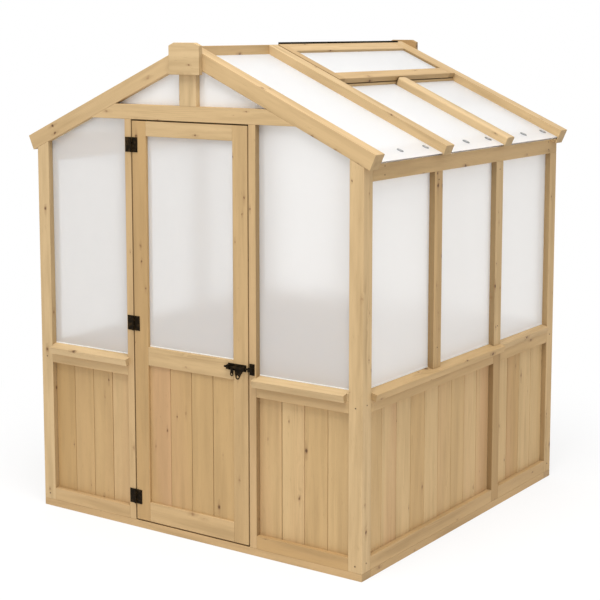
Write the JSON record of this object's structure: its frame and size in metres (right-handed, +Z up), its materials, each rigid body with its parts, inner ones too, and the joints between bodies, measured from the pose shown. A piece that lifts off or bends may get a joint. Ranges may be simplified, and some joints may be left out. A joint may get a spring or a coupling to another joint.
{
  "type": "timber greenhouse",
  "caption": "Walk-in timber greenhouse with a gabled roof, frosted twin-wall panes over boarded lower walls, a hinged door with a slide bolt and a roof vent.",
  "frame": {"origin": "middle of the footprint, at ground level", "axes": "+X to the right along the front wall, -Y out of the door, +Z up"},
  "size_m": [2.072, 2.01, 2.397],
  "materials": {
    "timber": "planed natural softwood, satin",
    "wall_boards": "planed tongue-and-groove softwood boards",
    "twin_wall_sheet": "frosted translucent twin-wall polycarbonate",
    "black_metal": "black powder coat",
    "black_rubber": "black weather strip"
  },
  "bodies": {
    "greenhouse": {"base_plates_ends": "timber", "base_plates_sides": "timber", "corner_posts": "timber", "door_jambs": "timber", "front_rails": "timber", "rear_rails": "timber", "side_rails": "timber", "side_stiles": "timber", "front_sills": "timber", "side_sills_front": "timber", "side_sills_rear": "timber", "rear_sill": "timber", "wall_mullions": "timber", "tie_beams": "timber", "king_posts": "timber", "apex_blocks": "timber", "eave_beams": "timber", "ridge_board": "timber", "barge_rafters_left": "timber", "barge_rafters_right": "timber", "rafters_left": "timber", "rafters_right": "timber", "vent_header": "timber", "vent_stiles": "timber", "vent_rails": "timber", "front_boards": "wall_boards", "rear_boards": "wall_boards", "side_boards": "wall_boards", "front_panes": "twin_wall_sheet", "gable_panes": "twin_wall_sheet", "side_panes": "twin_wall_sheet", "rear_panes": "twin_wall_sheet", "roof_sheets_left": "twin_wall_sheet", "roof_sheets_right": "twin_wall_sheet", "vent_pane": "twin_wall_sheet", "hinge_leaves_jamb": "black_metal", "latch_keeper": "black_metal", "vent_strip": "black_rubber"},
    "door": {"door_stiles": "timber", "door_rails": "timber", "door_boards": "wall_boards", "door_pane": "twin_wall_sheet", "hinge_leaves_door": "black_metal", "latch_plate": "black_metal"},
    "bolt": {"latch_bolt": "black_metal"}
  },
  "joints": [
    {"name": "door_hinge", "type": "hinge", "parent": "greenhouse", "child": "door", "pos_m": [-0.3485, -0.981, 1.0325], "axis": [0, 0, -1], "range_deg": [0, 110]},
    {"name": "bolt_slide", "type": "slide", "parent": "door", "child": "bolt", "axis": [1, 0, 0], "range_m": [0, 0.028]}
  ]
}
